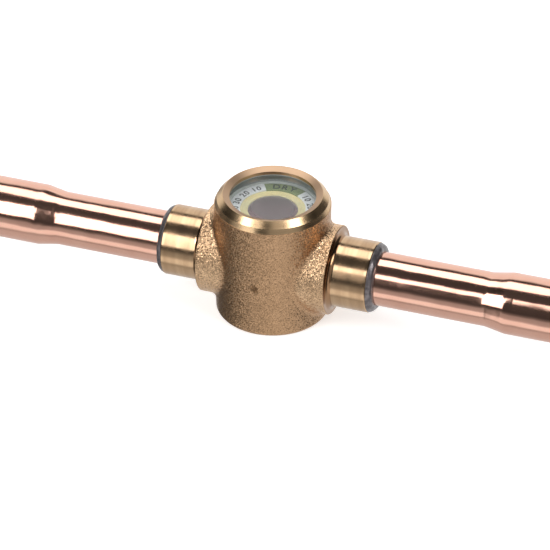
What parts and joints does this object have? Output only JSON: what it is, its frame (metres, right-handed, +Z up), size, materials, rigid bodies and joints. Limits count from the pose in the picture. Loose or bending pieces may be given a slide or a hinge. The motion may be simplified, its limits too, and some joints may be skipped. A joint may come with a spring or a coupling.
{
  "type": "refrigerant sight glass",
  "caption": "In-line sight glass with a moisture indicator: round brass body, window under a rolled rim, and copper stub tubes with solder sockets.",
  "frame": {"origin": "centre of the body's flat underside", "axes": "+X along the tubes, +Z up through the window, +Y across; the window's dry mark is on the +Y side"},
  "size_m": [0.144, 0.0272, 0.0314],
  "materials": {
    "forged_brass": "shot-blasted forging with turned rim and collars",
    "copper_tube": "bright drawn copper",
    "filler_metal": "dark glossy brazing alloy",
    "window_glass": "polished faces, ground edge",
    "seal_plastic": "plain sealing plastic",
    "dial_print": "printed white, green and yellow",
    "indicator_paper": "porous, changes colour with moisture",
    "holder_steel": "plain stainless steel"
  },
  "bodies": {
    "root": {"body": "forged_brass", "lip_cushion": "seal_plastic", "glass": "window_glass", "glass_seal": "seal_plastic", "dial_ring": "dial_print", "indicator_ring": "indicator_paper", "indicator_holder": "holder_steel", "holder_spring": "holder_steel", "left_copper_stub": "copper_tube", "right_copper_stub": "copper_tube", "left_brazed_joint": "filler_metal", "right_brazed_joint": "filler_metal"}
  },
  "joints": []
}
